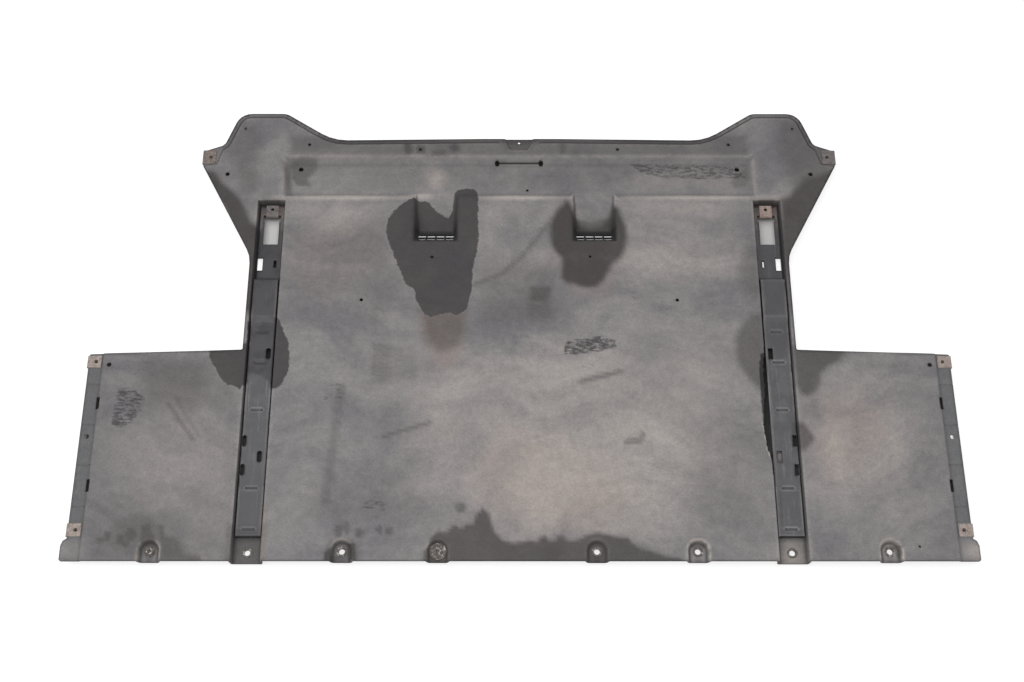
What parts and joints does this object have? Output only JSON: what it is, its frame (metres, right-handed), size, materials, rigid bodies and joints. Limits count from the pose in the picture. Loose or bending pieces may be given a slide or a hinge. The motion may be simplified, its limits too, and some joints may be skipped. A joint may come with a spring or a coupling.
{
  "type": "engine splash shield",
  "caption": "Moulded under-engine tray with recessed stiffening rails, louvred outlet scoops, a rear trough, fixing pockets and clip nuts along its edges.",
  "frame": {"origin": "middle of the tray's plan box, at the height of the scoops' undersides, on which it rests road side up", "axes": "+X across the car towards the tray's right in the picture, +Y from the straight front edge towards the eared rear edge, +Z out of the road side"},
  "size_m": [1.5, 0.848, 0.033],
  "materials": {
    "tray": "dusty fibre-filled moulding",
    "rail": "worn satin moulding",
    "steel": "dull zinc",
    "rusty_steel": "rusted"
  },
  "bodies": {
    "root": {"tray": "tray", "rail_left": "rail", "rail_right": "rail", "sleeve_1": "steel", "sleeve_2": "steel", "sleeve_3": "steel", "sleeve_4": "steel", "sleeve_5": "steel", "sleeve_6": "steel", "sleeve_7": "steel", "sleeve_8": "steel", "washer_4": "steel", "screw_1": "steel", "screw_4": "steel", "clip_ear_left": "rusty_steel", "clip_ear_right": "rusty_steel", "clip_rail_left": "rusty_steel", "clip_rail_right": "rusty_steel", "clip_wing_rear_left": "rusty_steel", "clip_wing_rear_right": "rusty_steel", "clip_wing_front_left": "rusty_steel", "clip_wing_front_right": "rusty_steel"}
  },
  "joints": []
}
